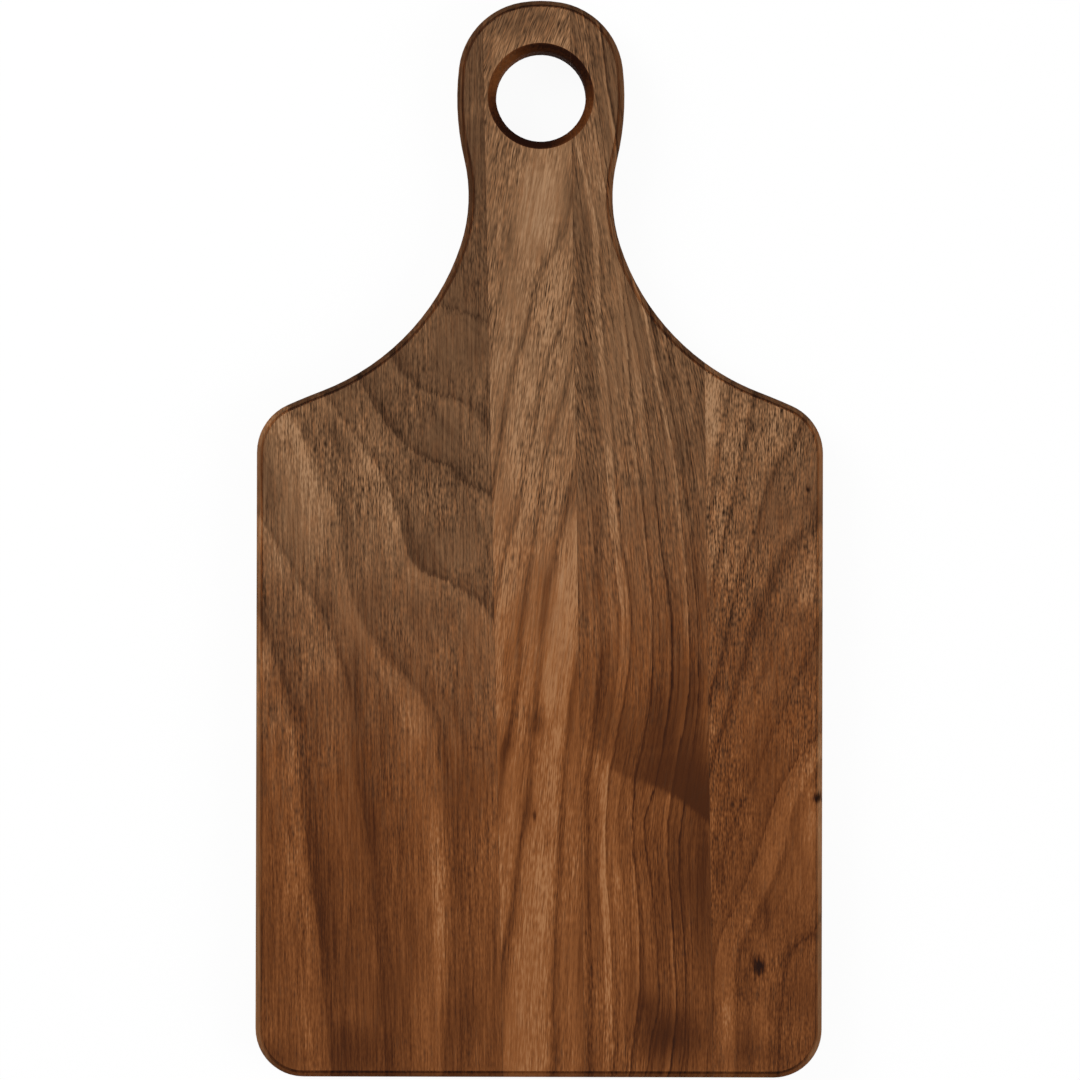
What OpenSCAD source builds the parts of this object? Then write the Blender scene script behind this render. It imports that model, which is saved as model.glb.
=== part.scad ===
// Paddle serving board, edge-glued from four walnut staves, with a finger and hanging hole in its handle.
// It lies flat with its handle towards +Y. The origin is the middle of its underside.

/* [Board] */
// Length from the crown of the handle to the foot
board_l = 406.4; // [370:0.1:450]
// Width across the straight sides
body_w = 213.8; // [200:0.1:240]
// Thickness
board_t = 19; // [15:0.5:26]
// Radius of the two corners at the foot
corner_r = 18.2; // [10:0.1:40]

/* [Handle] */
// Width of the head at its widest
head_w = 63.2; // [60:0.1:70]
// Width of the neck at its narrowest
neck_w = 54.4; // [46:0.1:58]
// Distance from the crown down to the widest part of the head
head_rise = 36.8; // [34:0.1:42]
// Radius of the crown
crown_r = 44.2; // [38:0.1:60]
// Radius of the corners of the head
head_corner_r = 28.5; // [22:0.1:31]
// Radius of the sides of the head
flank_r = 98.9; // [70:0.1:130]
// Radius of the hollow at the neck
neck_r = 59.7; // [45:0.1:70]
// Direction that the edge faces where the neck gives way to the sweep, in degrees above sideways
neck_turn = 18; // [10:0.5:24]

/* [Shoulders] */
// Radius of the shoulders
shoulder_r = 19.7; // [12:0.1:30]
// Distance from the crown down to the middle of the shoulder rounds
shoulder_drop = 170.8; // [160:0.1:185]
// Radius of the long slope that leads down to the shoulders
slope_r = 240; // [150:1:400]
// Fall of that slope where it meets the shoulders, in degrees
slope_angle = 24.1; // [20:0.1:28]

/* [Edges] */
// Radius of the rounded edge on both faces
edge_r = 2.6; // [1.5:0.1:5]
// Depth of the small step that the edge round leaves beside each face
edge_step = 0.35; // [0.1:0.05:1]

/* [Hanging hole] */
// Distance from the crown down to the middle of the hole
hole_drop = 36.2; // [34:0.1:42]
// Bore of the hole
hole_d = 34; // [26:0.5:38]
// Radius of the round on both rims of the hole
rim_r = 3; // [1:0.1:4]

/* [Staves] */
// Distance of the centre seam to the right of the middle, at mid-length
centre_seam_x = 14.15; // [8:0.05:20]
// Width of the stave on its left at mid-length
centre_left_stave_w = 31.9; // [28:0.05:36]
// Width of the stave on its right at mid-length
centre_right_stave_w = 48.7; // [36:0.05:56]
// Angle by which the left seam leans to the left towards the handle, in degrees
left_seam_angle = 1.25; // [0:0.01:2]
// Angle by which the centre seam leans, in degrees
centre_seam_angle = 0.93; // [0:0.01:2]
// Angle by which the right seam leans, in degrees
right_seam_angle = 0.82; // [0:0.01:2]
// Thickness of the cured glue
glue_t = 0.12; // [0.05:0.01:0.3]

/* [Hidden] */

// Facets of a full turn
round_fn = 180;
// Steps in which an arc is followed where only a rough line is needed
arc_steps = 6;

top_y = board_l / 2;
foot_y = -board_l / 2;
head_y = top_y - head_rise;
hole_y = top_y - hole_drop;
hole_r = hole_d / 2;

// The edge is a moulding of this depth, and the flat core laps into it
moulding_w = 2 * (edge_r + edge_step);
core_inset = (edge_r + edge_step + moulding_w) / 2;
rim_w = 2 * rim_r;
rim_lap = (rim_r + rim_w) / 2;
// How far a cutting prism reaches past what it trims
cut_over = 1.5 * moulding_w;

// The unit vector that faces along an angle
function facing(angle) = [cos(angle), sin(angle)];

// The angle that a vector faces
function angle_of(v) = atan2(v.y, v.x);

// Where two circles cross, on the left of the way from the first centre to the second
function crossing(c1, r1, c2, r2) =
    let (
        gap = norm(c2 - c1),
        way = (c2 - c1) / gap,
        reach = (r1 * r1 - r2 * r2 + gap * gap) / (2 * gap),
        rise = sqrt(r1 * r1 - reach * reach)
    )
    c1 + reach * way + rise * [-way.y, way.x];

// Centres of the arcs of the right half, from the crown down. Each arc is tangent to the next.
crown_c = [0, top_y - crown_r];
flank_c = [head_w / 2 - flank_r, head_y];
head_corner_c = crossing(flank_c, flank_r - head_corner_r, crown_c, crown_r - head_corner_r);
neck_x = neck_w / 2 + neck_r;
neck_c = [neck_x, head_y - sqrt(pow(flank_r + neck_r, 2) - pow(neck_x - flank_c.x, 2))];
shoulder_c = [body_w / 2 - shoulder_r, top_y - shoulder_drop];
corner_c = [body_w / 2 - corner_r, foot_y + corner_r];

// The sweep leaves the neck at neck_turn, and its radius is the one that meets the slope
shoulder_turn = 90 - slope_angle;
slope_c = shoulder_c - (slope_r - shoulder_r) * facing(shoulder_turn);
neck_end = neck_c - neck_r * facing(neck_turn);
to_neck = neck_end - slope_c;
sweep_r = (to_neck * to_neck - slope_r * slope_r) / (2 * (slope_r - to_neck * facing(neck_turn)));
sweep_c = neck_end + sweep_r * facing(neck_turn);

// The angles that the edge faces where two arcs meet
crown_turn = angle_of(head_corner_c - crown_c);
head_turn = angle_of(head_corner_c - flank_c);
flank_turn = angle_of(neck_c - flank_c);
slope_turn = angle_of(sweep_c - slope_c);

// Each arc: its centre, its radius, whether it bulges out, and the angles that it faces at its two ends
arcs = [
    [crown_c, crown_r, true, 90, crown_turn],
    [head_corner_c, head_corner_r, true, crown_turn, head_turn],
    [flank_c, flank_r, true, head_turn, flank_turn],
    [neck_c, neck_r, false, flank_turn, neck_turn],
    [sweep_c, sweep_r, false, neck_turn, slope_turn],
    [slope_c, slope_r, true, slope_turn, shoulder_turn],
    [shoulder_c, shoulder_r, true, shoulder_turn, 0],
    [corner_c, corner_r, true, 0, -90]
];
shoulder = arcs[6];
corner = arcs[7];
foot_middle = [0, foot_y];

// A point on an arc, at a share of its length and a distance in from the edge
function on_arc(arc, share, inset) =
    let (way = facing(arc[3] + share * (arc[4] - arc[3])))
    arc[2] ? arc[0] + (arc[1] - inset) * way : arc[0] - (arc[1] + inset) * way;

function arc_points(arc, inset) = [for (i = [0:arc_steps]) on_arc(arc, i / arc_steps, inset)];

// A strip along the edge that reaches past the moulding on both sides
function strip(outer, inner) = concat(outer, [for (i = [len(inner) - 1:-1:0]) inner[i]]);

// Whole millimetres and what is left over are moved in two steps, so that no digit is lost
module place(p) {
    whole = [floor(p.x), floor(p.y)];
    translate(whole)
        translate(p - whole)
            children();
}

// Section of an edge: x runs in from the edge and y is the height
module edge_section(width, round_r, step) {
    difference() {
        square([width, board_t]);
        for (z = [0, board_t])
            translate([0, z])
                mirror([0, z > 0 ? 1 : 0])
                    face_round(round_r, step);
    }
}

// What the rounding takes off the lower corner of that section
module face_round(round_r, step) {
    translate([-cut_over, -cut_over])
        square([cut_over + round_r, cut_over + step]);
    difference() {
        translate([-cut_over, step - cut_over])
            square([cut_over + round_r, cut_over + round_r]);
        translate([round_r, step + round_r])
            circle(r = round_r, $fn = round_fn);
    }
}

module moulding_section() {
    edge_section(moulding_w, edge_r, edge_step);
}

// Keeps what lies within an outline
module trim(points) {
    intersection() {
        children();
        translate([0, 0, -cut_over])
            linear_extrude(height = board_t + 2 * cut_over)
                polygon(points);
    }
}

// The moulding along one arc
module arc_moulding(arc) {
    trim(strip(arc_points(arc, -cut_over), arc_points(arc, cut_over)))
        place(arc[0])
            rotate_extrude($fn = round_fn)
                translate([arc[1], 0])
                    mirror([arc[2] ? 1 : 0, 0])
                        moulding_section();
}

// The moulding along a straight run, which faces one way from start to end
module straight_moulding(start, end, angle) {
    out = cut_over * facing(angle);
    trim(strip([start + out, end + out], [start - out, end - out]))
        place(start)
            rotate([90, 0, angle])
                translate([0, 0, -cut_over])
                    linear_extrude(height = norm(end - start) + 2 * cut_over)
                        mirror([1, 0])
                            moulding_section();
}

// The right half of the board, with its edge moulding
module half_board() {
    for (arc = arcs)
        arc_moulding(arc);
    straight_moulding(on_arc(shoulder, 1, 0), on_arc(corner, 0, 0), 0);
    straight_moulding(on_arc(corner, 1, 0), foot_middle, -90);
    linear_extrude(height = board_t)
        polygon(concat(
            [for (arc = arcs) each arc_points(arc, core_inset)],
            [[0, foot_y + core_inset]]
        ));
}

// The rounded rim of the hole
module rim() {
    translate([0, hole_y])
        rotate_extrude($fn = round_fn)
            translate([hole_r, 0])
                edge_section(rim_w, rim_r, 0);
}

// The whole board, before it is parted into its staves
module board() {
    difference() {
        union() {
            half_board();
            mirror([1, 0, 0])
                half_board();
        }
        translate([0, hole_y, -cut_over])
            cylinder(h = board_t + 2 * cut_over, r = hole_r + rim_lap, $fn = round_fn);
    }
    rim();
}

// The seams at mid-length, from left to right, and their leans. The outer staves take what width is left.
seam_xs = [centre_seam_x - centre_left_stave_w, centre_seam_x, centre_seam_x + centre_right_stave_w];
seam_angles = [left_seam_angle, centre_seam_angle, right_seam_angle];

// Both ends of one face of a seam, foot end first. Side is -1 for its left face and 1 for its right.
function seam_face(i, side) = [
    for (y = [-board_l, board_l])
        [seam_xs[i] - y * tan(seam_angles[i]) + side * glue_t / 2 / cos(seam_angles[i]), y]
];

// Both ends of a line outside the board
function outside(side) = [for (y = [-board_l, board_l]) [side * body_w, y]];

// What lies between two such lines
module between(left, right) {
    trim([left[0], right[0], right[1], left[1]])
        board();
}

module stave_left() {
    color("#5f3d28")
        between(outside(-1), seam_face(0, -1));
}

module stave_centre_left() {
    color("#86603f")
        between(seam_face(0, 1), seam_face(1, -1));
}

module stave_centre_right() {
    color("#6e4830")
        between(seam_face(1, 1), seam_face(2, -1));
}

module stave_right() {
    color("#64402b")
        between(seam_face(2, 1), outside(1));
}

// The glue that fills one seam
module glue_line(i) {
    color("#3a2416")
        between(seam_face(i, -1), seam_face(i, 1));
}

module glue_line_left() {
    glue_line(0);
}

module glue_line_centre() {
    glue_line(1);
}

module glue_line_right() {
    glue_line(2);
}

stave_left();
stave_centre_left();
stave_centre_right();
stave_right();
glue_line_left();
glue_line_centre();
glue_line_right();
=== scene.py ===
"""Looks of a paddle serving board that is edge-glued from four walnut staves.

The board lies flat with its handle towards +Y, and the camera looks straight down on it. The shapes are
the CAD solids themselves. Each stave gets its own walnut, whose figure follows lines laid out for it.
"""

import math
from typing import NamedTuple

import bpy
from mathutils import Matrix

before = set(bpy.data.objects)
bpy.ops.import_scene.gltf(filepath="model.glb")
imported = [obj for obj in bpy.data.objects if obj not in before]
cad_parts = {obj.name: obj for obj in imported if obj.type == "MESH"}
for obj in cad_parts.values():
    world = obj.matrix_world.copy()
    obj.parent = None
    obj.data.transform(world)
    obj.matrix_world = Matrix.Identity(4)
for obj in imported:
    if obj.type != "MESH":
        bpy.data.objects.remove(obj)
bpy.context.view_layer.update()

# The photograph, in its own pixels: where the middle of the board is, how large a pixel is on the board's
# face in millimetres, and by how many degrees the board is turned clockwise in it
PHOTO_SIZE = 1080
BOARD_MIDDLE = (539.75, 538.9)
PIXEL_MM = 0.3770
BOARD_TURN = 0.14

# A millimetre in metres
MM = 0.001
# The height of the serving face and the middle of the hanging hole, in millimetres
TOP_MM = 19.0
HOLE_MIDDLE = (0.0, 167.0)
# Distances from that middle between which the rounded rim of the hole comes in
HOLE_RIM_MM = (20.12, 19.94)
# The lean of the fibres round the hole, in degrees from the board's length
HOLE_LEAN = 30.0

# Guide curves are kept near 1 in size, in units of this many millimetres
CURVE_UNIT = 400.0
# Two guide lines never come closer than this
LEAST_GAP_MM = 1.5
# A ring between two of them never counts as narrower than this
LEAST_RING_MM = 6.0
# How far the figure wanders slowly
WANDER_MM = 1.2
# How far single fibres jag it
JAG_MM = 0.4
# How far it leans for each millimetre of depth
RING_LEAN = 0.35

# Clouds shift the change to a redder colour, lighten the wood and bring out the marks of its fibres
CLOUD_SHIFT_MM = 10.0
CLOUD_TONE = 0.05
CLOUD_MARKING = 0.9
# How strong those marks are in black and in white wood
MARKING = (0.4, 1.6)
# The share of them that a calm place takes away
CALMING = 0.7
# Values of the pore noise between which a pit comes in
PITS = (0.26, 0.66)
# How dark and how rough a pit is
PIT_TONE = 0.03
PIT_ROUGHNESS = 0.12
# How much a patch of strength 1 adds to the tone
PATCH_GAIN = 1.7
# How much of the feathering of the figure the rim of a patch takes on
PATCH_FEATHER = 0.6
# How deep a patch reaches before it fades away
PATCH_DEPTH_MM = 60.0
# The redness that light fibres and their marks add, and the redness everywhere
WARM_FIBRES = 0.20
WARM_MARKING = 0.9
WARM_ALL_OVER = 0.06

# How upright the normal is where a face ends, and where the surface has turned away from it
FACE = 0.9995
TURNED = 0.975
# The painted shade of the crease beside a face comes in between these distances from it and between these
# uprightnesses
CREASE_MM = (0.62, 0.44)
CREASE_TILT = (0.9999, 0.999)
# How squarely the outer edge and the wall of the hole face along the fibres, from long to end grain
OUTER_END = (0.45, 1.08)
HOLE_END = (0.25, 0.95)
# Keeps a divisor above 0
TINY = 0.000001

# Painted light and shade on the rounded edge: it differs from the face by the first of these tones
# above the first of these rows of the photograph, and by the second tone below the second row; the
# lighter tone towards the foot makes up for the lamp light that the tilted edge gets less of than the
# face
EDGE_ROWS = (380, 460)
EDGE_LIGHT_AND_SHADE = (-0.08, 0.11)
# The share of the marks of the fibres that it loses
EDGE_CALMING = 0.5
# The amount and the share that end grain takes off its tone
END_TONE = 0.10
END_SHARE = 0.30
# How much darker the painted shade in the crease is, and how much darker still on end grain
CREASE_SHADE = 0.10
CREASE_END_SHADE = 0.14
# The share of its redness that the edge loses on long grain
EDGE_PALING = 0.85
# The least redness of long grain and of end grain on the edge, and what the painted shade of the crease
# adds to it
EDGE_REDNESS = 0.28
END_REDNESS = 0.10
CREASE_SHADE_REDNESS = 0.5

# The tone of the wall of the hole on long grain, partly the darker routed wood and partly painted
# shade in the hole, and the share of the wood's own tone that it adds
WALL_TONE = 0.26
WALL_SHARE = 0.20
# What end grain takes off that tone
WALL_END_TONE = 0.32
# What mottling adds to it, and the painted light where it faces right and painted shade where it faces
# the crown
WALL_MOTTLE = 0.07
WALL_RIGHT_LIGHT = 0.07
WALL_CROWN_SHADE = -0.10

# Oiled wood and cured glue shine little
SPECULAR = 0.07
OIL_ROUGHNESS = 0.56
GLUE_ROUGHNESS = 0.60
# What the edge and the hole add to the roughness of the wood
EDGE_ROUGHNESS = 0.30
HOLE_ROUGHNESS = 0.20

# The dark band across the striped stave, and the line at which it ends
BAND_TONE = 0.17
BAND_EDGE = [
    (540, 725), (579, 742), (600, 755), (617, 772), (656, 788), (680, 800), (706, 821), (740, 850),
]
# Heights above that line between which it comes in, and between which it fades away
BAND_END_MM = (-1.5, 1.5)
BAND_FADE_MM = (44.0, 6.0)
# Two pixels, and how strong it is at each of them
BAND_DEEPENS = ((570, 700), (695, 700))
BAND_STRENGTHS = (0.15, 0.85)
# Pin knots of the right stave: centre, radii, and how many times as large the darker wood round each is
KNOTS = [((758, 966), (6, 9), 3.0), ((819, 798), (5, 5), 1.8), ((810, 488), (3, 3), 2.0)]
# How dark that wood is, how dark a knot is for each pixel of its radius, and the radii at which it ends
KNOT_HALO_TONE = 0.14
KNOT_TONE = 0.12
KNOT_END = 1.5
# A tiny pin mark on the pale stave: centre, radii and how dark it is
PIN = ((535, 816), (3, 8))
PIN_TONE = 0.4

# The studio, in metres, with the brightness of its floor and of the light from all round
FLOOR_HALF = 6.0
FLOOR_DROP = 0.0002
FLOOR_GREY = 0.96
FLOOR_GLOW = 0.94
WORLD_LIGHT = 0.45
CAMERA_HEIGHT = 1.8
WHITE = (1.0, 1.0, 1.0, 1.0)


def on_board(px, py):
    """The place on the board, in millimetres, that a pixel of the photograph shows."""
    dx = (px - BOARD_MIDDLE[0]) * PIXEL_MM
    dy = (BOARD_MIDDLE[1] - py) * PIXEL_MM
    turn = math.radians(BOARD_TURN)
    return (dx * math.cos(turn) - dy * math.sin(turn), dx * math.sin(turn) + dy * math.cos(turn))


def up_board(row):
    """How far up the board a row of the photograph lies, in millimetres, at the picture's left side."""
    return on_board(0, row)[1]


class Field:
    """A number that differs from point to point. Arithmetic on it adds the nodes that work it out."""

    def __init__(self, nodes, socket):
        self.nodes = nodes
        self.socket = socket

    def __add__(self, other):
        return self.nodes.math("ADD", self, other)

    def __sub__(self, other):
        return self.nodes.math("SUBTRACT", self, other)

    def __rsub__(self, other):
        return self.nodes.math("SUBTRACT", other, self)

    def __mul__(self, other):
        return self.nodes.math("MULTIPLY", self, other)

    def __truediv__(self, other):
        return self.nodes.math("DIVIDE", self, other)

    __radd__ = __add__
    __rmul__ = __mul__


class Nodes:
    """Builds the node tree of one material or of the world."""

    def __init__(self, owner):
        owner.use_nodes = True
        self.tree = owner.node_tree
        self.tree.nodes.clear()

    def add(self, kind, **settings):
        node = self.tree.nodes.new("ShaderNode" + kind)
        for name, value in settings.items():
            setattr(node, name, value)
        return node

    def feed(self, socket, value):
        if isinstance(value, Field):
            self.tree.links.new(value.socket, socket)
        else:
            socket.default_value = value

    def math(self, operation, first, second=0.0, clamp=False):
        node = self.add("Math", operation=operation, use_clamp=clamp)
        self.feed(node.inputs[0], first)
        self.feed(node.inputs[1], second)
        return Field(self, node.outputs[0])

    def size(self, value):
        return self.math("ABSOLUTE", value)

    def step(self, value, start, end, low=0.0, high=1.0, smooth=True):
        """Goes from low to high while the value goes from start to end."""
        node = self.add("MapRange", interpolation_type="SMOOTHSTEP" if smooth else "LINEAR")
        for socket, entry in zip(node.inputs, (value, start, end, low, high)):
            self.feed(socket, entry)
        return Field(self, node.outputs[0])

    def vector(self, x, y, z):
        node = self.add("CombineXYZ")
        for socket, entry in zip(node.inputs, (x, y, z)):
            self.feed(socket, entry)
        return Field(self, node.outputs[0])

    def split(self, output):
        node = self.add("SeparateXYZ")
        self.tree.links.new(output, node.inputs[0])
        return [Field(self, socket) for socket in node.outputs]

    def position(self):
        """Where a point of the board lies, in metres."""
        return self.split(self.add("TexCoord").outputs["Object"])

    def normal(self):
        """Which way the surface faces."""
        return self.split(self.add("NewGeometry").outputs["Normal"])

    def noise(self, x, y, z, detail=2.0, rough=0.5):
        """Noise in waves about 1 long. It is about 0 on average and seldom passes -1 or 1."""
        node = self.add("TexNoise")
        self.feed(node.inputs["Vector"], self.vector(x, y, z))
        node.inputs["Scale"].default_value = 1.0
        node.inputs["Detail"].default_value = detail
        node.inputs["Roughness"].default_value = rough
        return self.step(Field(self, node.outputs[0]), 0.25, 0.75, -1.0, 1.0, smooth=False)

    def curve(self, value, points):
        """A smooth curve through the points, which go on in a straight line past both ends."""
        node = self.add("FloatCurve")
        node.mapping.use_clip = False
        node.mapping.extend = "EXTRAPOLATED"
        line = node.mapping.curves[0]
        while len(line.points) < len(points):
            line.points.new(0.0, 0.0)
        for point, place in zip(line.points, sorted(points)):
            point.location = place
            point.handle_type = "AUTO_CLAMPED"
        node.mapping.update()
        self.feed(node.inputs["Value"], value)
        return Field(self, node.outputs[0])

    def follow(self, value, points):
        """Such a curve through points that are given in millimetres."""
        scaled = [(start / CURVE_UNIT, end / CURVE_UNIT) for start, end in points]
        return self.curve(value * (1 / CURVE_UNIT), scaled) * CURVE_UNIT

    def spot(self, place, centre, radii, angle=0):
        """1 at the middle of an oval of pixels, falling smoothly to 0 at its rim."""
        node = self.add("Mapping", vector_type="TEXTURE")
        self.feed(node.inputs["Vector"], place)
        node.inputs["Location"].default_value = (*on_board(*centre), TOP_MM)
        node.inputs["Rotation"].default_value = (0.0, 0.0, math.radians(angle))
        node.inputs["Scale"].default_value = (radii[0] * PIXEL_MM, radii[1] * PIXEL_MM, PATCH_DEPTH_MM)
        length = self.add("VectorMath", operation="LENGTH")
        self.tree.links.new(node.outputs[0], length.inputs[0])
        return self.step(Field(self, length.outputs["Value"]), 1.0, 0.0)

    def colours(self, value, stops):
        node = self.add("ValToRGB")
        ramp = node.color_ramp
        while len(ramp.elements) < len(stops):
            ramp.elements.new(0.5)
        for element, (place, colour) in zip(ramp.elements, stops):
            element.position = place
            element.color = (*colour, 1.0)
        self.feed(node.inputs[0], value)
        return Field(self, node.outputs[0])

    def blend(self, share, first, second):
        node = self.add("Mix", data_type="RGBA")
        self.feed(node.inputs[0], share)
        self.feed(node.inputs[6], first)
        self.feed(node.inputs[7], second)
        return Field(self, node.outputs[2])

    def show(self, shader, kind="OutputMaterial"):
        """Makes a shader what the tree shows."""
        self.tree.links.new(shader.outputs[0], self.add(kind).inputs["Surface"])

    def satin(self, colour, roughness, relief, relief_strength, relief_depth):
        """A surface that shines little, with a fine relief whose depth is in metres."""
        shader = self.add("BsdfPrincipled")
        self.feed(shader.inputs["Base Color"], colour)
        self.feed(shader.inputs["Roughness"], roughness)
        shader.inputs["Specular IOR Level"].default_value = SPECULAR
        bump = self.add("Bump")
        bump.inputs["Strength"].default_value = relief_strength
        bump.inputs["Distance"].default_value = relief_depth
        self.feed(bump.inputs["Height"], relief)
        self.tree.links.new(bump.outputs["Normal"], shader.inputs["Normal"])
        self.show(shader)


class Walnut(NamedTuple):
    """What the walnut of one stave looks like. Places and radii on it are in pixels of the photograph."""

    slot: str
    seed: float
    # The lines of its figure, from left to right, each over the whole length of the board
    lines: list
    # The tone, from 0 dark to 1 light, at each place across the lines, which count from 0: 2.5 is halfway
    # between lines 2 and 3
    tones: list
    # Lighter and darker ovals: centre, radii, angle and strength
    patches: list
    # Ovals where the marks of the fibres are faint: centre and radii
    calm: list
    # The course of the fibres
    fibres: list
    # Rows between which its colour turns redder
    reddens: tuple
    # How far up or down, in millimetres, a single fibre carries the figure
    feather: float
    # Strength of the short marks of the fibres near the handle and at the foot
    grain: tuple
    # How far those marks are drawn out along the fibres
    mark_length: float
    # Strength of the longer bundles of fibres
    bundles: float
    # Strength of the dark hairlines that follow the figure
    hairs: float


class Place(NamedTuple):
    """Where a point of a stave lies and how far its figure strays there, in millimetres."""

    x: Field
    y: Field
    # Above the underside and below the serving face
    height: Field
    depth: Field
    # Across the fibres
    fibre: Field
    # How far the figure strays across the board and along it
    sway: Field
    tips: Field
    # The point itself, strayed in that way, for patches with loosened rims
    loose: Field


class Edge(NamedTuple):
    """How the routed edge runs at a point: two parts of the normal, and values that go from 0 to 1."""

    nx: Field
    ny: Field
    # How upright the normal is, and how far the surface turns away from the faces
    upright: Field
    turned: Field
    # How squarely the outer edge and the wall of the hole cut the fibres
    outer_end: Field
    hole_end: Field
    # Whether the point is in the small step beside a face, which gets painted shade, and whether it is in
    # the hole
    shaded_crease: Field
    in_hole: Field


# Walnut from its darkest tone to its lightest: greyer near the handle, redder near the foot
HANDLE_TONES = [
    (0.0, (0.014, 0.005, 0.001)),
    (0.25, (0.065, 0.030, 0.013)),
    (0.5, (0.148, 0.074, 0.034)),
    (0.75, (0.246, 0.125, 0.058)),
    (1.0, (0.370, 0.212, 0.112)),
]
FOOT_TONES = [
    (0.0, (0.013, 0.003, 0.001)),
    (0.25, (0.062, 0.0165, 0.0035)),
    (0.5, (0.144, 0.045, 0.0112)),
    (0.75, (0.240, 0.083, 0.0235)),
    (1.0, (0.355, 0.157, 0.062)),
]
GLUE_TONES = [
    (0.0, (0.018, 0.006, 0.002)),
    (0.5, (0.050, 0.020, 0.008)),
    (1.0, (0.110, 0.046, 0.018)),
]

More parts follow.
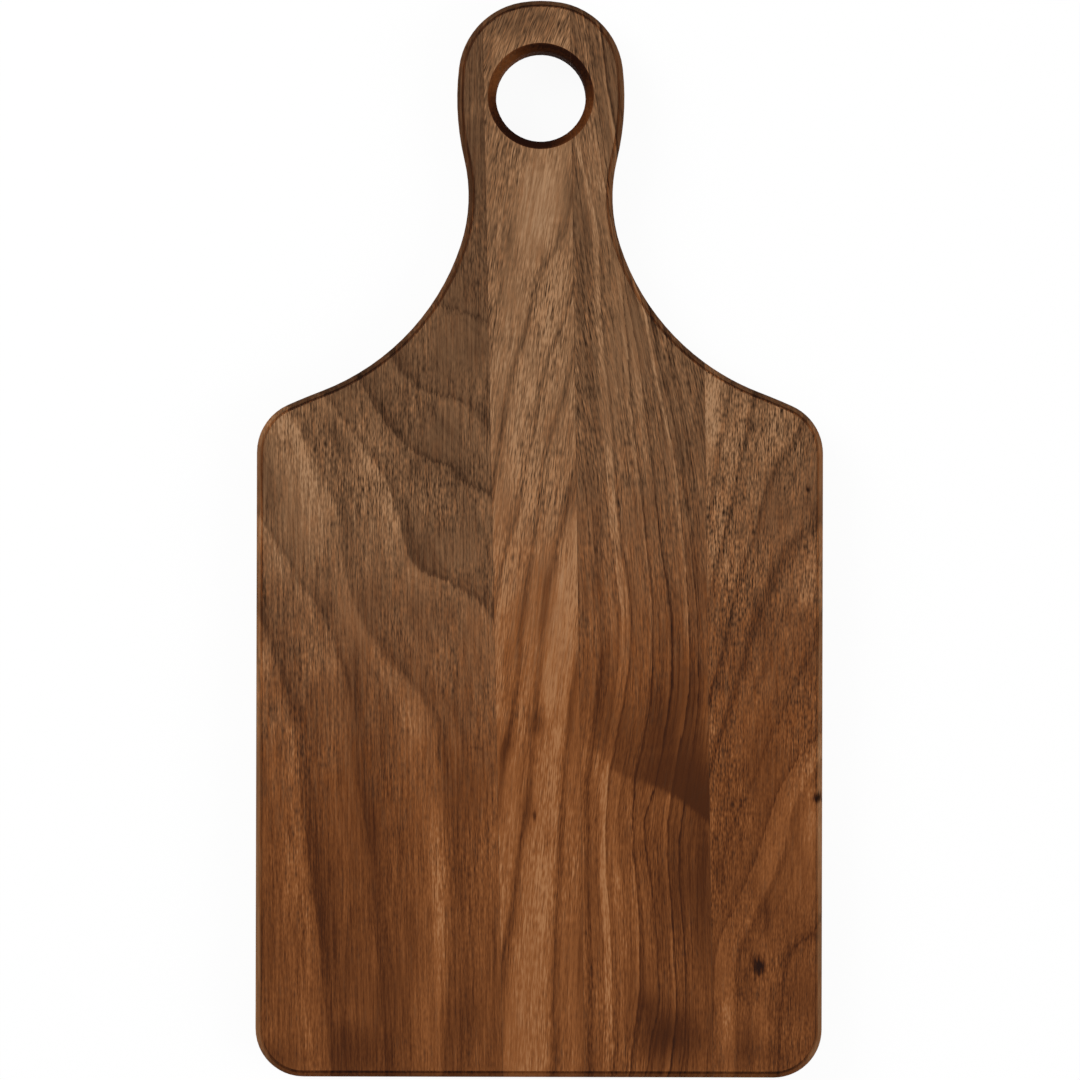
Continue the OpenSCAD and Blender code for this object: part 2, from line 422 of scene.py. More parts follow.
LEFT = Walnut(
    slot="walnut_figured",
    seed=11.0,
    lines=[
        [(180, 420), (215, 600), (255, 720), (262, 780), (268, 840), (274, 900), (280, 960), (288, 1080)],
        [(190, 420), (235, 560), (262, 620), (284, 690), (297, 740), (300, 800), (304, 840), (308, 870),
         (313, 910), (317, 940), (323, 1000), (332, 1080)],
        [(215, 420), (262, 520), (290, 560), (298, 575), (305, 588), (318, 600), (325, 612), (333, 630),
         (340, 655), (350, 680), (357, 720), (359, 770), (367, 820), (373, 860), (375, 900), (380, 960),
         (390, 1080)],
        [(270, 360), (296, 420), (305, 440), (316, 465), (326, 485), (336, 502), (341, 530), (345, 560),
         (351, 590), (362, 620), (378, 646), (397, 672), (424, 702), (437, 733), (441, 772), (446, 818),
         (449, 888), (450, 946), (447, 1000), (444, 1080)],
        [(300, 360), (335, 410), (358, 440), (378, 470), (391, 492), (399, 515), (404, 540), (411, 560),
         (423, 573), (440, 580), (460, 588), (480, 602), (492, 618), (540, 700), (560, 850), (570, 1080)],
        [(350, 360), (390, 430), (400, 440), (412, 450), (425, 458), (440, 464), (452, 466), (458, 474),
         (467, 483), (480, 488), (490, 492), (560, 600), (600, 800), (620, 1080)],
        [(370, 300), (400, 370), (412, 381), (425, 390), (440, 396), (456, 398), (470, 404), (482, 416),
         (560, 520), (620, 700), (660, 1080)],
        [(400, 200), (420, 300), (440, 306), (457, 311), (468, 314), (477, 318), (487, 324), (560, 420),
         (640, 600), (700, 1080)],
        [(430, 60), (470, 180), (500, 230), (600, 400), (700, 700), (760, 1080)],
    ],
    tones=[
        (0, 0.50), (0.5, 0.54), (0.85, 0.58), (0.96, 0.55), (1.02, 0.36), (1.15, 0.39), (1.45, 0.48),
        (1.65, 0.52), (1.94, 0.50), (2.0, 0.35), (2.08, 0.39), (2.25, 0.44), (2.45, 0.50), (2.75, 0.59),
        (2.95, 0.61), (3.0, 0.50), (3.05, 0.43), (3.2, 0.46), (3.45, 0.52), (3.7, 0.58), (3.92, 0.65),
        (3.98, 0.50), (4.03, 0.34), (4.1, 0.43), (4.35, 0.48), (4.65, 0.50), (4.9, 0.47), (4.97, 0.42),
        (5.0, 0.20), (5.04, 0.24), (5.08, 0.36), (5.25, 0.40), (5.5, 0.47), (5.8, 0.50), (5.95, 0.47),
        (6.0, 0.30), (6.06, 0.38), (6.35, 0.46), (6.8, 0.48), (6.97, 0.44), (7.02, 0.30), (7.1, 0.40),
        (7.4, 0.42), (8, 0.40),
    ],
    patches=[
        (304, 545, 34, 100, 3, 0.16), (304, 455, 14, 48, 18, 0.16), (285, 460, 38, 90, 0, 0.14),
        (316, 500, 26, 60, 0, 0.10), (272, 535, 26, 60, 20, 0.18), (272, 650, 15, 60, -10, 0.16),
        (337, 438, 16, 42, 20, -0.20), (386, 520, 14, 60, 5, 0.12), (366, 560, 18, 80, 0, 0.13),
        (343, 640, 24, 56, -10, 0.18), (412, 725, 24, 46, 15, 0.16), (455, 520, 40, 28, 0, -0.03),
        (368, 440, 22, 50, 15, 0.14), (415, 472, 30, 30, 0, -0.10), (455, 582, 40, 20, 0, -0.09),
        (450, 615, 16, 44, 0, -0.09), (372, 850, 22, 90, 3, -0.15), (365, 1052, 62, 44, 0, -0.22),
        (275, 418, 40, 28, 0, 0.10), (372, 700, 14, 110, -6, 0.08), (427, 545, 10, 34, 0, -0.04),
        (446, 468, 46, 36, -20, -0.10), (405, 850, 26, 80, 0, -0.07), (410, 584, 22, 26, 0, 0.12),
        (313, 660, 14, 50, 4, 0.14), (390, 675, 16, 24, 20, 0.07), (478, 350, 17, 15, 0, -0.08),
        (266, 940, 14, 140, 0, -0.08), (262, 500, 12, 60, 0, 0.12), (355, 900, 12, 130, 3, -0.08),
        (326, 765, 14, 54, 3, 0.06), (318, 890, 18, 150, 4, -0.18), (350, 950, 40, 160, 3, -0.05),
        (272, 1056, 34, 30, 0, -0.16), (438, 910, 10, 160, 1, 0.22), (458, 860, 10, 90, 2, -0.12),
        (465, 1030, 14, 60, 0, -0.12), (475, 748, 14, 3, 0, -0.14), (488, 900, 24, 190, -2, 0.07),
        (397, 1015, 6, 60, 0, -0.06), (474, 110, 20, 14, 0, 0.18), (468, 74, 18, 46, 0, 0.10),
        (474, 262, 36, 66, 0, -0.06), (468, 178, 16, 54, 0, -0.14), (415, 650, 14, 70, 35, 0.12),
        (452, 735, 16, 50, 20, 0.10), (450, 604, 36, 20, 10, -0.06), (304, 1030, 11, 56, 0, 0.16),
        (466, 925, 3, 44, 0, 0.16), (286, 880, 14, 60, 0, 0.08),
    ],
    calm=[(440, 440, 60, 50), (472, 120, 40, 130), (296, 520, 46, 90), (455, 550, 50, 40)],
    fibres=[(400, 0), (398, 400), (401, 800), (404, 1080)],
    reddens=(450, 900),
    feather=1.6,
    grain=(0.17, 0.08),
    mark_length=1.3,
    bundles=0.17,
    hairs=0.05,
)

CENTRE_LEFT = Walnut(
    slot="walnut_pale",
    seed=23.0,
    lines=[
        [(470, 60), (455, 300), (440, 700), (420, 1080)],
        [(515, 40), (505, 160), (500, 240), (490, 330), (470, 450), (455, 700), (440, 1080)],
        [(590, 150), (571, 200), (560, 240), (545, 265), (537, 290), (530, 312), (522, 340), (513, 370),
         (508, 390), (503, 420), (495, 470), (485, 540), (470, 700), (455, 1080)],
        [(600, 200), (580, 260), (572, 290), (565, 312), (557, 335), (549, 352), (543, 372), (539, 395),
         (537, 420), (532, 450), (525, 480), (516, 520), (506, 560), (497, 610), (485, 700), (470, 1080)],
        [(610, 250), (590, 300), (575, 340), (563, 380), (553, 420), (545, 450), (541, 480), (538, 510),
         (535, 530), (530, 560), (527, 580), (524, 600), (521, 620), (519, 650), (515, 690), (510, 720),
         (503, 750), (499, 800), (490, 850), (480, 1080)],
        [(620, 350), (595, 430), (575, 480), (562, 520), (556, 540), (552, 565), (547, 580), (543, 600),
         (541, 620), (540, 650), (537, 690), (536, 720), (531, 760), (528, 800), (525, 820), (518, 860),
         (515, 900), (508, 940), (502, 980), (495, 1040), (490, 1080)],
        [(640, 400), (615, 500), (595, 600), (580, 660), (574, 690), (570, 730), (566, 770), (563, 810),
         (560, 850), (557, 900), (556, 950), (556, 1000), (556, 1080)],
        [(660, 400), (630, 560), (605, 680), (590, 750), (584, 820), (580, 900), (578, 1000),
         (578, 1080)],
    ],
    tones=[
        (0, 0.68), (1, 0.62), (1.3, 0.72), (1.7, 0.78), (1.92, 0.72), (2.0, 0.54), (2.1, 0.66),
        (2.4, 0.77), (2.85, 0.72), (3.0, 0.54), (3.1, 0.78), (3.3, 0.82), (3.6, 0.74), (3.88, 0.70),
        (4.0, 0.50), (4.12, 0.64), (4.4, 0.74), (4.82, 0.70), (5.0, 0.48), (5.12, 0.66), (5.4, 0.82),
        (5.7, 0.82), (5.88, 0.74), (6.0, 0.48), (6.15, 0.58), (6.4, 0.68), (6.8, 0.64), (7.0, 0.54),
    ],
    patches=[
        (545, 185, 16, 55, -4, 0.12), (499, 230, 8, 60, 0, 0.08), (512, 245, 10, 34, 0, -0.06),
        (568, 186, 10, 30, 0, -0.18), (569, 260, 7, 32, 0, -0.12), (540, 225, 16, 34, -8, 0.08),
        (575, 550, 6, 48, -4, 0.16), (569, 610, 9, 54, -6, 0.09), (507, 745, 11, 44, -14, -0.24),
        (536, 724, 17, 20, 0, -0.22), (528, 812, 13, 24, 0, -0.14), (517, 880, 7, 34, -10, -0.07),
        (552, 700, 12, 26, 0, 0.08), (514, 456, 9, 60, 0, 0.06), (503, 420, 5, 36, 0, -0.12),
        (560, 475, 18, 34, 0, -0.06), (540, 20, 84, 34, 0, -0.16), (490, 48, 10, 30, 0, -0.12),
        (492, 90, 12, 66, 0, -0.06), (540, 630, 12, 90, 3, 0.05), (560, 580, 20, 80, 0, 0.12),
        (525, 210, 18, 70, 0, 0.10), (510, 700, 10, 30, 0, -0.10), (505, 975, 10, 26, 0, -0.09),
        (539, 870, 14, 60, 0, 0.05), (553, 660, 20, 60, 0, 0.07), (550, 830, 14, 40, 0, -0.08),
        (560, 1050, 16, 40, 0, -0.10),
    ],
    calm=[(540, 190, 26, 60), (548, 640, 30, 120)],
    fibres=[(585, 0), (560, 70), (548, 120), (535, 200), (520, 300), (508, 400), (497, 500), (487, 600),
            (475, 700), (466, 800), (459, 900), (454, 1000), (451, 1080)],
    reddens=(340, 780),
    feather=1.6,
    grain=(0.20, 0.09),
    mark_length=1.7,
    bundles=0.12,
    hairs=0.07,
)

CENTRE_RIGHT = Walnut(
    slot="walnut_striped",
    seed=37.0,
    lines=[
        [(540, 60), (556, 206), (562, 387), (566, 537), (568, 730), (566, 1080)],
        [(560, 60), (572, 206), (578, 309), (580, 380), (584, 430), (588, 470), (594, 530), (598, 570),
         (600, 620), (600, 656), (594, 740), (588, 800), (588, 850), (588, 970), (588, 1080)],
        [(572, 60), (577, 135), (584, 174), (593, 215), (598, 260), (600, 309), (604, 360), (609, 400),
         (613, 450), (615, 500), (619, 545), (626, 600), (628, 656), (622, 700), (613, 745), (606, 800),
         (605, 850), (608, 900), (611, 985), (611, 1040), (610, 1080)],
        [(590, 60), (604, 190), (615, 250), (624, 309), (630, 387), (638, 464), (644, 537), (650, 633),
         (648, 700), (640, 745), (632, 790), (632, 850), (635, 885), (638, 950), (637, 990), (630, 1040),
         (628, 1080)],
        [(600, 120), (616, 250), (632, 325), (641, 370), (648, 415), (655, 465), (658, 510), (662, 555),
         (666, 580), (671, 640), (670, 690), (662, 740), (652, 790), (643, 825), (645, 850), (650, 880),
         (655, 925), (658, 998), (651, 1040), (646, 1080)],
        [(620, 180), (632, 270), (648, 325), (656, 367), (671, 425), (679, 470), (683, 520), (686, 580),
         (688, 648), (686, 700), (678, 740), (668, 790), (664, 830), (667, 880), (672, 937), (675, 998),
         (668, 1080)],
        [(640, 200), (655, 345), (671, 400), (678, 430), (686, 490), (692, 550), (697, 620), (697, 690),
         (692, 745), (683, 800), (678, 850), (680, 900), (684, 937), (686, 982), (684, 1040),
         (680, 1080)],
        [(690, 300), (700, 420), (712, 495), (716, 648), (718, 745), (712, 830), (708, 937), (710, 1080)],
    ],
    tones=[
        (0, 0.50), (0.8, 0.54), (1.0, 0.37), (1.12, 0.46), (1.4, 0.51), (1.60, 0.50), (1.76, 0.65),
        (2.0, 0.71), (2.05, 0.64), (2.1, 0.43), (2.2, 0.50), (2.55, 0.55), (2.82, 0.56), (3.0, 0.66),
        (3.05, 0.60), (3.09, 0.28), (3.18, 0.47), (3.5, 0.56), (3.9, 0.55), (3.97, 0.44), (4.0, 0.22),
        (4.06, 0.43), (4.4, 0.53), (4.78, 0.54), (4.92, 0.72), (5.05, 0.74), (5.12, 0.24), (5.2, 0.43),
        (5.6, 0.52), (5.88, 0.50), (5.96, 0.56), (6.0, 0.24), (6.08, 0.43), (6.6, 0.52), (7, 0.44),
    ],
    patches=[
        (583, 270, 12, 90, -2, -0.08), (612, 935, 30, 130, 0, 0.17), (668, 1034, 60, 48, 0, -0.34),
        (592, 190, 13, 90, 12, 0.20), (604, 830, 22, 120, 2, 0.14), (612, 630, 30, 80, 0, 0.14),
        (701, 880, 16, 150, 0, -0.24), (629, 352, 34, 100, -8, 0.15), (603, 56, 34, 66, 0, -0.10),
        (625, 490, 28, 170, -6, 0.11), (592, 752, 16, 64, 0, 0.20), (690, 690, 18, 90, 0, -0.20),
        (654, 702, 18, 56, 0, -0.15), (672, 520, 34, 110, -8, -0.03), (672, 865, 34, 100, 0, -0.20),
        (645, 1004, 20, 26, 0, -0.20), (670, 345, 20, 56, -20, 0.15), (676, 410, 18, 70, -15, 0.10),
        (678, 930, 40, 110, 0, -0.10), (618, 290, 12, 40, -10, 0.12), (650, 810, 12, 32, 0, 0.12),
        (697, 815, 14, 34, 0, -0.12), (676, 712, 40, 76, 0, -0.10), (686, 772, 24, 40, 0, -0.12),
        (660, 752, 34, 8, 0, 0.12), (605, 775, 26, 50, 0, 0.10), (588, 520, 12, 60, 0, 0.10),
        (594, 1010, 9, 36, 0, 0.10), (693, 405, 6, 44, -12, 0.10), (706, 850, 6, 26, 0, -0.12),
        (642, 845, 14, 50, 0, -0.08), (602, 165, 16, 64, 10, 0.18), (586, 890, 7, 150, 0, 0.22),
        (626, 850, 10, 60, 0, -0.10), (690, 798, 18, 16, 15, -0.16),
    ],
    calm=[(612, 95, 34, 110), (690, 740, 50, 100)],
    fibres=[(582, 0), (592, 60), (602, 130), (616, 250), (633, 336), (646, 400), (656, 464), (662, 540),
            (667, 600), (669, 690), (664, 740), (656, 800), (652, 850), (654, 930), (656, 1000),
            (654, 1080)],
    reddens=(350, 790),
    feather=1.2,
    grain=(0.17, 0.09),
    mark_length=1.5,
    bundles=0.10,
    hairs=0.13,
)

RIGHT = Walnut(
    slot="walnut_brown",
    seed=53.0,
    lines=[
        [(690, 300), (700, 420), (692, 500), (680, 640), (650, 900), (630, 1080)],
        [(745, 360), (730, 400), (728, 420), (724, 440), (720, 460), (716, 480), (711, 505), (706, 535),
         (700, 570), (690, 640), (660, 900), (640, 1080)],
        [(770, 350), (752, 410), (749, 430), (745, 450), (741, 470), (737, 490), (731, 515), (722, 545),
         (712, 580), (700, 630), (680, 740), (660, 1080)],
        [(830, 380), (803, 424), (795, 440), (788, 452), (780, 465), (774, 478), (769, 490), (764, 505),
         (760, 520), (757, 535), (750, 550), (744, 562), (741, 575), (737, 590), (732, 605), (728, 620),
         (724, 640), (719, 660), (713, 680), (696, 760), (670, 1080)],
        [(850, 460), (822, 514), (810, 528), (800, 536), (792, 542), (787, 550), (782, 560), (777, 570),
         (771, 580), (767, 590), (762, 600), (756, 612), (750, 628), (746, 645), (740, 668), (726, 715),
         (704, 790), (680, 1080)],
        [(860, 560), (823, 620), (806, 660), (780, 710), (755, 770), (736, 815), (729, 835), (726, 850),
         (721, 868), (717, 888), (712, 912), (700, 960), (690, 1080)],
        [(860, 670), (822, 732), (812, 742), (800, 756), (790, 770), (781, 786), (773, 803), (763, 835),
         (750, 872), (734, 910), (718, 948), (713, 1000), (711, 1080)],
        [(870, 690), (822, 757), (806, 782), (793, 805), (787, 822), (784, 842), (776, 866), (768, 886),
         (757, 906), (745, 930), (737, 948), (733, 980), (732, 1080)],
        [(880, 780), (850, 830), (818, 926), (806, 938), (790, 951), (783, 985), (779, 1021),
         (776, 1080)],
        [(900, 850), (870, 940), (840, 1000), (830, 1080)],
    ],
    tones=[
        (0, 0.60), (0.4, 0.76), (0.8, 0.72), (1.0, 0.48), (1.12, 0.58), (1.5, 0.68), (1.85, 0.62),
        (2.0, 0.40), (2.12, 0.56), (2.5, 0.60), (2.90, 0.56), (3.0, 0.32), (3.07, 0.48), (3.5, 0.55),
        (3.85, 0.48), (4.0, 0.36), (4.1, 0.48), (4.3, 0.56), (4.7, 0.53), (4.95, 0.46), (5.0, 0.41),
        (5.12, 0.47), (5.6, 0.49), (5.93, 0.41), (5.99, 0.37), (6.05, 0.60), (6.4, 0.62), (6.8, 0.69),
        (6.97, 0.69), (7.04, 0.48), (7.12, 0.53), (7.4, 0.58), (7.8, 0.56), (7.96, 0.46), (8.0, 0.34),
        (8.08, 0.48), (8.6, 0.52), (9, 0.50),
    ],
    patches=[
        (713, 415, 14, 60, 0, 0.17), (775, 440, 28, 36, 20, 0.06), (808, 505, 18, 26, 0, -0.10),
        (757, 615, 20, 60, 18, -0.12), (772, 580, 10, 24, 0, -0.07), (805, 580, 24, 50, 0, 0.13),
        (812, 722, 15, 34, 0, -0.05), (713, 730, 8, 18, 0, 0.12), (721, 872, 8, 44, 14, -0.18),
        (742, 838, 4, 32, 0, -0.08), (803, 870, 4, 36, 0, -0.07), (813, 935, 15, 16, 0, -0.14),
        (790, 950, 10, 10, 0, -0.10), (745, 992, 20, 28, 10, -0.14), (723, 1025, 8, 50, 0, 0.14),
        (745, 1042, 13, 50, 0, -0.16), (763, 1040, 8, 44, 0, 0.10), (713, 990, 5, 24, 0, 0.08),
        (767, 915, 5, 34, 0, -0.20), (731, 715, 14, 60, -20, 0.08), (760, 650, 60, 110, 0, -0.06),
        (745, 885, 22, 36, 0, -0.05), (770, 715, 46, 80, 0, 0.04), (812, 812, 17, 66, 0, 0.20),
        (758, 902, 14, 56, 12, -0.12), (714, 650, 26, 100, 0, -0.09), (726, 765, 24, 150, 0, -0.12),
        (743, 950, 20, 70, 0, -0.14), (713, 1045, 14, 50, 0, -0.08), (785, 925, 34, 50, 0, -0.12),
        (725, 500, 40, 60, 20, -0.08), (730, 620, 20, 60, 15, -0.08), (760, 1055, 60, 30, 0, -0.18),
        (712, 1010, 10, 80, 0, -0.10), (790, 1000, 34, 44, 0, -0.12),
    ],
    calm=[(800, 850, 50, 120)],
    fibres=[(776, 0), (768, 400), (762, 700), (756, 1080)],
    reddens=(330, 850),
    feather=1.8,
    grain=(0.24, 0.13),
    mark_length=1.1,
    bundles=0.10,
    hairs=0.06,
)


def placed(line):
    """A line of pixels in millimetres: how far across the board it is at each height on it."""
    return [(y, x) for x, y in (on_board(*pixel) for pixel in line)]


def locate(nodes, wood):
    """Where each point of a stave lies and how far its figure strays there."""
    x, y, height = [value * (1 / MM) for value in nodes.position()]
    depth = TOP_MM - height
    fibre = x - nodes.follow(y, placed(wood.fibres))
    # Slow wander, jagged fibres and feathered tips, so that no line of the figure is ruler-drawn
    wander = nodes.noise(x * 0.03, y * 0.012, depth * 0.03 + wood.seed, detail=1.0) * WANDER_MM
    jag = nodes.noise(fibre * 1.1, y * 0.12, depth * 0.9 + wood.seed, rough=0.6) * JAG_MM
    tips = nodes.noise(fibre * 1.3, y * 0.03, depth * 1.3 - wood.seed, rough=0.6) * wood.feather
    sway = wander + jag
    loose = nodes.vector(x + sway, y + tips * PATCH_FEATHER, height)
    return Place(x, y, height, depth, fibre, sway, tips, loose)


def threads(nodes, at, across, along, seed, **settings):
    """Noise drawn out along the fibres, with so many waves per millimetre across them and along them."""
    return nodes.noise(at.fibre * across, at.y * along, at.depth * across + seed, **settings)


def figure(nodes, wood, across, along):
    """How far across the rings a point lies, in millimetres of stave, and its tone there."""
    edges = []
    for line in wood.lines:
        edge = nodes.follow(along, placed(line))
        edges.append(nodes.math("MAXIMUM", edge, edges[-1] + LEAST_GAP_MM) if edges else edge)
    middles = [sum(on_board(*pixel)[0] for pixel in line) / len(line) for line in wood.lines]
    marks = [0.0]
    parts = []
    for i in range(len(edges) - 1):
        width = max(LEAST_RING_MM, middles[i + 1] - middles[i])
        share = nodes.math("DIVIDE", across - edges[i], edges[i + 1] - edges[i], clamp=True)
        parts.append(share * width)
        marks.append(marks[-1] + width)
    rings = sum(parts[1:], parts[0])
    stave = marks[-1]
    stops = [(at_mark(marks, number) / stave, tone) for number, tone in wood.tones]
    return rings, nodes.curve(rings / stave, stops)


def at_mark(marks, number):
    """Where a place that counts in guide lines lies in millimetres of stave."""
    i = min(int(number), len(marks) - 2)
    return marks[i] + (number - i) * (marks[i + 1] - marks[i])


def mark_strength(nodes, wood, at, clouds, toward_foot):
    """How much the marks of the fibres stand out, from handle to foot, in clouds and in calm places."""
    near_handle, at_foot = wood.grain
    strength = (near_handle + toward_foot * (at_foot - near_handle)) * (1.0 + clouds * CLOUD_MARKING)
    for px, py, rx, ry in wood.calm:
        strength = strength * (1.0 - nodes.spot(at.loose, (px, py), (rx, ry)) * CALMING)
    return strength


def hairlines(nodes, at, rings, seed):
    """Dark hairlines that follow the figure."""
    lines = nodes.noise(rings * 1.3, at.y * 0.008, seed, detail=1.0)
    return nodes.step(lines, 0.15, 0.55) + nodes.noise(rings * 0.4, at.y * 0.006, -seed) * 0.7


def patched(nodes, wood, at, tone):
    """The tone with the lighter and darker patches of a stave."""
    for px, py, rx, ry, angle, strength in wood.patches:
        spot = nodes.spot(at.loose, (px, py), (rx, ry), angle)
        tone = tone * (spot * (strength * PATCH_GAIN) + 1.0)
    return tone


def edge_at(nodes, at):
    """How the routed edge runs at each point."""
    nx, ny, nz = nodes.normal()
    upright = nodes.size(nz)
    level = nodes.math("SQRT", nx * nx + ny * ny + TINY)
    lean = math.radians(HOLE_LEAN)
    along_fibres = nodes.size(nx * math.sin(lean) + ny * math.cos(lean))
    from_face = nodes.math("MINIMUM", at.height, at.depth)
    dx = at.x - HOLE_MIDDLE[0]
    dy = at.y - HOLE_MIDDLE[1]
    return Edge(
        nx=nx,
        ny=ny,
        upright=upright,
        turned=nodes.step(upright, FACE, TURNED),
        outer_end=nodes.step(nodes.size(ny) / level, *OUTER_END),
        hole_end=nodes.step(along_fibres / level, *HOLE_END),
        shaded_crease=nodes.step(from_face, *CREASE_MM) * nodes.step(upright, *CREASE_TILT),
        in_hole=nodes.step(nodes.math("SQRT", dx * dx + dy * dy), *HOLE_RIM_MM),
    )


def routed(nodes, at, edge, tone, marking):
    """The tone with the routed edge: darker on end grain, with painted light and shade that change along
    the board, and painted shade in its small step beside the face.
    """
    start, end = [up_board(row) for row in EDGE_ROWS]
    # Painted light and shade on the rounded edge: darker towards the handle, lighter towards the foot
    edge_light_and_shade = nodes.step(at.y, start, end, *EDGE_LIGHT_AND_SHADE) * nodes.step(edge.upright, 0.0, 0.5)
    shift = edge_light_and_shade - edge.outer_end * (tone * END_SHARE + END_TONE) - marking * EDGE_CALMING
    # Painted shade in the small step beside the face, deeper on end grain
    return tone + edge.turned * shift - edge.shaded_crease * (edge.outer_end * CREASE_END_SHADE + CREASE_SHADE)


def bored(nodes, at, edge, tone, seed):
    """The tone with the wall of the hole: darker where it cuts across the fibres, darker all over partly
    as painted shade in the hole, with painted light where it faces right and painted shade where it faces
    the crown.
    """
    mottle = nodes.noise(at.x * 0.9, at.y * 0.9, at.depth * 0.5 + seed, detail=3.0)
    wall = WALL_TONE + tone * WALL_SHARE - edge.hole_end * WALL_END_TONE + mottle * WALL_MOTTLE
    # Painted light where the wall faces right, painted shade where it faces the crown
    wall = wall + edge.nx * WALL_RIGHT_LIGHT + edge.ny * WALL_CROWN_SHADE
    return nodes.math("ADD", tone + (wall - tone) * edge.in_hole, 0.0, clamp=True)


def redness_at(nodes, edge, toward_foot, warmth):
    """How red the wood is: more towards the foot, less on the long edges and fully in the hole."""
    redness = toward_foot * (1.0 - edge.turned * (1.0 - edge.outer_end) * EDGE_PALING)
    least = edge.turned * (EDGE_REDNESS - edge.outer_end * (EDGE_REDNESS - END_REDNESS))
    # The painted shade in that small step is also redder
    least = least + edge.shaded_crease * CREASE_SHADE_REDNESS
    redness = nodes.math("MAXIMUM", redness, least)
    redness = nodes.math("MAXIMUM", redness, edge.in_hole)
    return nodes.math("ADD", redness, warmth, clamp=True)


def walnut(wood, extra=None):
    """An oiled walnut, with its figure, its fibres and its darker routed edge."""
    material = bpy.data.materials.new(wood.slot)
    nodes = Nodes(material)
    seed = wood.seed
    at = locate(nodes, wood)
    rings, tone = figure(nodes, wood, at.x + at.depth * RING_LEAN + at.sway, at.y + at.tips)

    # Fibres show as short marks and longer bundles, which stand out more in some places than in others
    clouds = nodes.noise(at.x * 0.05, at.y * 0.02, at.depth * 0.05 - seed)
    toward_foot = nodes.step(at.y + clouds * CLOUD_SHIFT_MM, *(up_board(row) for row in wood.reddens))
    short = threads(nodes, at, across=2.5, along=0.60 / wood.mark_length, seed=seed, detail=0.0)
    medium = threads(nodes, at, across=2.1, along=0.17 / wood.mark_length, seed=-seed, detail=0.0)
    bundles = threads(nodes, at, across=1.0, along=0.03, seed=seed, rough=0.65)
    pores = threads(nodes, at, across=1.9, along=0.30, seed=-2.0 * seed, detail=1.0)
    pits = nodes.step(pores, *PITS)
    strength = mark_strength(nodes, wood, at, clouds, toward_foot)
    in_black, in_white = MARKING
    marking = (short + medium) * strength * (tone * (in_white - in_black) + in_black)
    hairs = hairlines(nodes, at, rings, seed) * wood.hairs
    tone = tone + marking + bundles * wood.bundles + clouds * CLOUD_TONE - hairs - pits * PIT_TONE
    tone = patched(nodes, wood, at, tone)
    if extra:
        tone = extra(nodes, at, tone)

    edge = edge_at(nodes, at)
    tone = routed(nodes, at, edge, tone, marking)
    tone = bored(nodes, at, edge, tone, seed)
    # Lighter fibres are warmer than the dark ones between them
    warmth = threads(nodes, at, across=1.0, along=0.08, seed=2.0 * seed, detail=1.0) * WARM_FIBRES
    warmth = warmth + marking * WARM_MARKING + WARM_ALL_OVER
    redness = redness_at(nodes, edge, toward_foot, warmth)
    colour = nodes.blend(redness, nodes.colours(tone, HANDLE_TONES), nodes.colours(tone, FOOT_TONES))
    roughness = OIL_ROUGHNESS - tone * 0.08 + pits * PIT_ROUGHNESS
    roughness = roughness + edge.turned * EDGE_ROUGHNESS + edge.in_hole * HOLE_ROUGHNESS
    relief = medium * 0.3 + bundles * 0.2 - pits
    nodes.satin(colour, roughness, relief, relief_strength=0.4, relief_depth=0.0001)
    return material


def dark_band(nodes, at, tone):
    """The tone with the band of crossing figure on the striped stave, which ends sharply at its foot."""
    above = at.y - nodes.follow(at.x, [on_board(*pixel) for pixel in BAND_EDGE]) + at.tips
    start, end = [on_board(*pixel)[0] for pixel in BAND_DEEPENS]
    strength = nodes.step(at.x, start, end, *BAND_STRENGTHS)
    band = nodes.step(above, *BAND_END_MM) * nodes.step(above, *BAND_FADE_MM) * strength
    return tone + (BAND_TONE - tone) * band


def knots(nodes, at, tone):
    """The tone with the pin knots of the right stave, each with darker wood round it."""
    for centre, (rx, ry), halo in KNOTS:
        tone = tone - nodes.spot(at.loose, centre, (rx * halo, ry * halo)) * KNOT_HALO_TONE
        tone = tone - nodes.spot(at.loose, centre, (rx * KNOT_END, ry * KNOT_END)) * (rx * KNOT_TONE)
    return tone


def pin(nodes, at, tone):
    """The tone with the tiny pin mark on the pale stave."""
    return tone - nodes.spot(at.loose, *PIN) * PIN_TONE


def cured_glue():
    """Glue squeezed flush in the seams, brown with wood dust, with painted shade where the routed edge
    turns away from the face.
    """
    material = bpy.data.materials.new("cured_glue")
    nodes = Nodes(material)
    x, y, z = nodes.position()
    dust = nodes.noise(x * 900.0, y * 220.0, z * 900.0)
    turned = nodes.step(nodes.size(nodes.normal()[2]), FACE, TURNED)
    # Painted shade: the glue is darker where the surface turns away from the face
    colour = nodes.colours(dust * 0.25 + 0.65 - turned * 0.45, GLUE_TONES)
    nodes.satin(colour, GLUE_ROUGHNESS + dust * 0.08, dust, relief_strength=0.3, relief_depth=0.00005)
    return material


def dress(name, material):
    """Gives a CAD node its finish."""
    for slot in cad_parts[name].material_slots:
        slot.material = material


glue = cured_glue()
dress("stave_left", walnut(LEFT))
dress("stave_centre_left", walnut(CENTRE_LEFT, pin))
dress("stave_centre_right", walnut(CENTRE_RIGHT, dark_band))
dress("stave_right", walnut(RIGHT, knots))
for seam in ("glue_line_left", "glue_line_centre", "glue_line_right"):
    dress(seam, glue)


def seen_directly(nodes):
    """1 where a surface is seen by the camera, in a reflection or through glass."""
    path = nodes.add("LightPath")
    kinds = ("Is Camera Ray", "Is Glossy Ray", "Is Transmission Ray")
    camera, glossy, through = [Field(nodes, path.outputs[kind]) for kind in kinds]
    return nodes.math("MAXIMUM", nodes.math("MAXIMUM", camera, glossy), through)


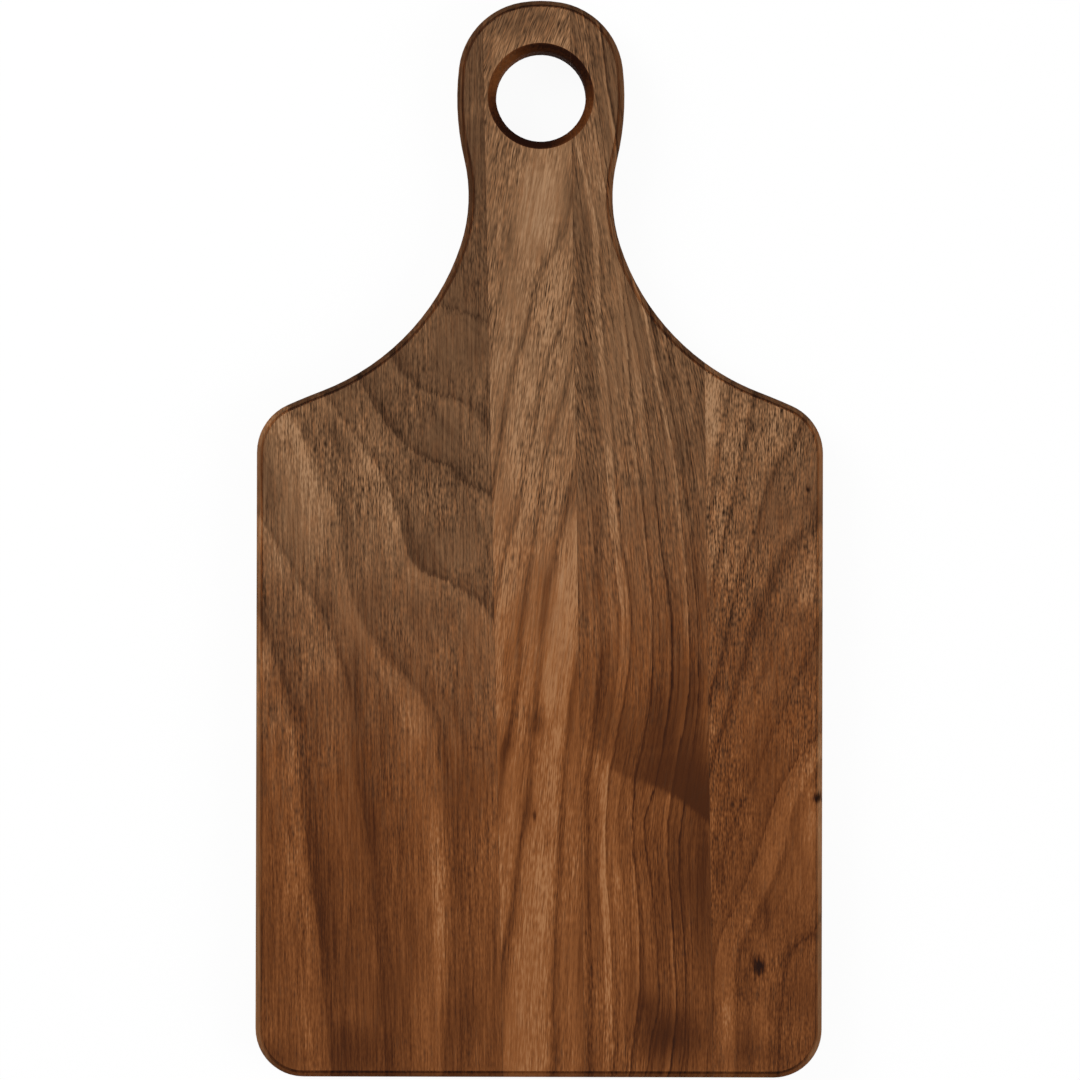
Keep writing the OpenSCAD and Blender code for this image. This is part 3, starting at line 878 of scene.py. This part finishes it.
def add_floor():
    """A pale floor that looks white and keeps a soft shadow."""
    corners = [(x * FLOOR_HALF, y * FLOOR_HALF, 0) for x, y in ((-1, -1), (1, -1), (1, 1), (-1, 1))]
    mesh = bpy.data.meshes.new("floor")
    mesh.from_pydata(corners, [], [(0, 1, 2, 3)])
    floor = bpy.data.objects.new("floor", mesh)
    floor.location.z = -FLOOR_DROP
    bpy.context.scene.collection.objects.link(floor)
    material = bpy.data.materials.new("floor")
    nodes = Nodes(material)
    paint = nodes.add("BsdfDiffuse")
    paint.inputs["Color"].default_value = (FLOOR_GREY, FLOOR_GREY, FLOOR_GREY, 1.0)
    glow = nodes.add("Emission")
    glow.inputs["Color"].default_value = WHITE
    mix = nodes.add("MixShader")
    nodes.feed(mix.inputs[0], seen_directly(nodes) * FLOOR_GLOW)
    nodes.tree.links.new(paint.outputs[0], mix.inputs[1])
    nodes.tree.links.new(glow.outputs[0], mix.inputs[2])
    nodes.show(mix)
    mesh.materials.append(material)


def add_world():
    """Even light from all round, and white where it is seen."""
    world = bpy.data.worlds.new("studio")
    bpy.context.scene.world = world
    nodes = Nodes(world)
    background = nodes.add("Background")
    background.inputs["Color"].default_value = WHITE
    strength = nodes.step(seen_directly(nodes), 0.0, 1.0, WORLD_LIGHT, 1.0, smooth=False)
    nodes.feed(background.inputs["Strength"], strength)
    nodes.show(background, "OutputWorld")


def add_softbox(name, place, size, power):
    """A large soft lamp that points at the middle of the board. Its power is in watts."""
    lamp = bpy.data.lights.new(name, "AREA")
    lamp.shape = "SQUARE"
    lamp.size = size
    lamp.energy = power
    softbox = bpy.data.objects.new(name, lamp)
    softbox.location = place
    softbox.rotation_euler = (-softbox.location).to_track_quat("-Z", "Y").to_euler()
    bpy.context.scene.collection.objects.link(softbox)


def add_camera():
    """Straight above the middle of the photograph, turned as the board is turned in it."""
    lens = bpy.data.cameras.new("camera")
    lens.sensor_width = 36.0
    lens.lens = lens.sensor_width * CAMERA_HEIGHT / (PHOTO_SIZE * PIXEL_MM * MM)
    camera = bpy.data.objects.new("camera", lens)
    x, y = on_board(PHOTO_SIZE / 2, PHOTO_SIZE / 2)
    camera.location = (x * MM, y * MM, TOP_MM * MM + CAMERA_HEIGHT)
    camera.rotation_euler = (0.0, 0.0, math.radians(BOARD_TURN))
    bpy.context.scene.collection.objects.link(camera)
    bpy.context.scene.camera = camera


add_floor()
add_world()
add_softbox("softbox_left", place=(-1.6, 1.2, 1.5), size=1.4, power=40.0)
add_softbox("softbox_right", place=(1.8, -0.7, 1.5), size=1.4, power=25.0)
add_camera()
bpy.context.scene.view_settings.view_transform = "Standard"
